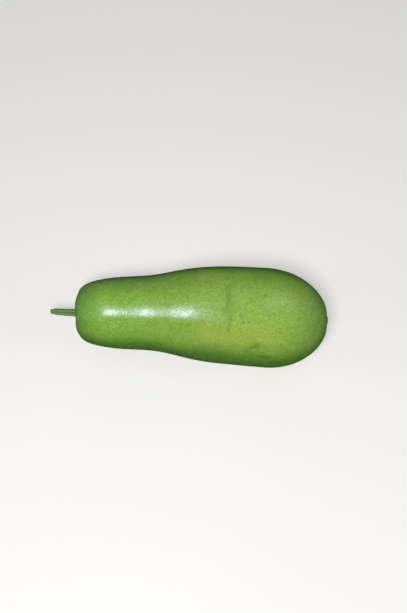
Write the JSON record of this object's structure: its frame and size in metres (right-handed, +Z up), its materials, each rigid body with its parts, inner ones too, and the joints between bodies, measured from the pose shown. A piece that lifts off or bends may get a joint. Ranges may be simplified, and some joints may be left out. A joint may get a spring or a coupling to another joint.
{
  "type": "bottle gourd",
  "caption": "Fresh green bottle gourd lying on its belly: a smooth, slightly crooked fruit with a straight neck and a rounded belly, and a short ridged stem cut aslant.",
  "frame": {"origin": "centre of the bottom of the bounding box, on the surface that the gourd lies on", "axes": "+X along the fruit from the stem towards the blossom end, +Z up from the surface"},
  "size_m": [0.286, 0.1034, 0.1062],
  "materials": {
    "skin": "waxy green skin with a broken semi-gloss sheen",
    "stem": "matt, downy and fibrous"
  },
  "bodies": {
    "root": {"fruit": "skin", "stem": "stem"}
  },
  "joints": []
}
